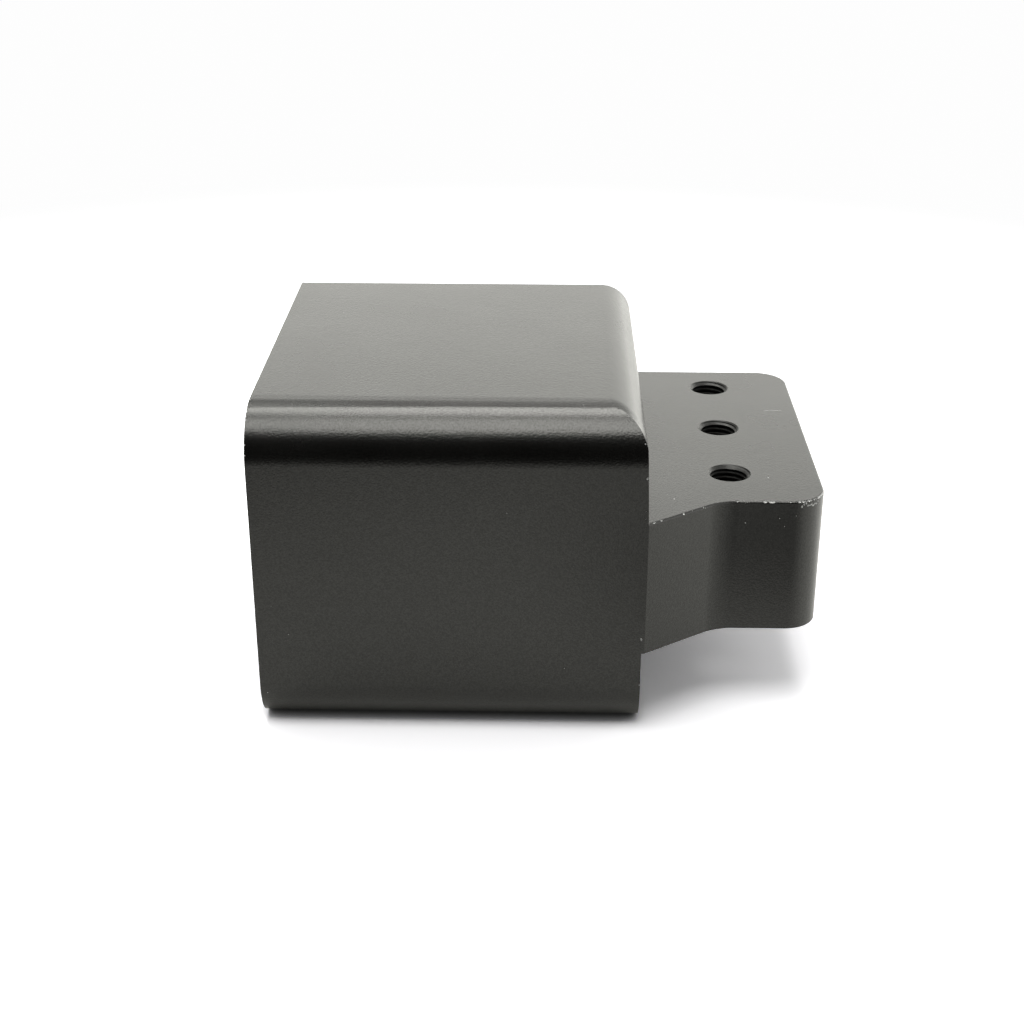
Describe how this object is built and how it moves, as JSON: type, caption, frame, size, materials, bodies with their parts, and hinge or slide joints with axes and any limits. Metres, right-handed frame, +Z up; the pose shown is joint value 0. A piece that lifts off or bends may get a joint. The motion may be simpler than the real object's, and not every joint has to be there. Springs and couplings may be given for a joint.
{
  "type": "mounting block with side lug",
  "caption": "Machined rectangular block with rounded front and top edges and a thick side lug that carries a row of tapped, countersunk through holes.",
  "frame": {"origin": "centre of the block's base, on the surface that it stands on", "axes": "+X from the block towards the lug's free end, +Y from the front to the back, +Z up"},
  "size_m": [0.133, 0.1, 0.08],
  "materials": {
    "black_anodised": "bead-blasted and black anodised, with bare metal in small chips along the edges"
  },
  "bodies": {
    "root": {"mounting_block": "black_anodised"}
  },
  "joints": []
}
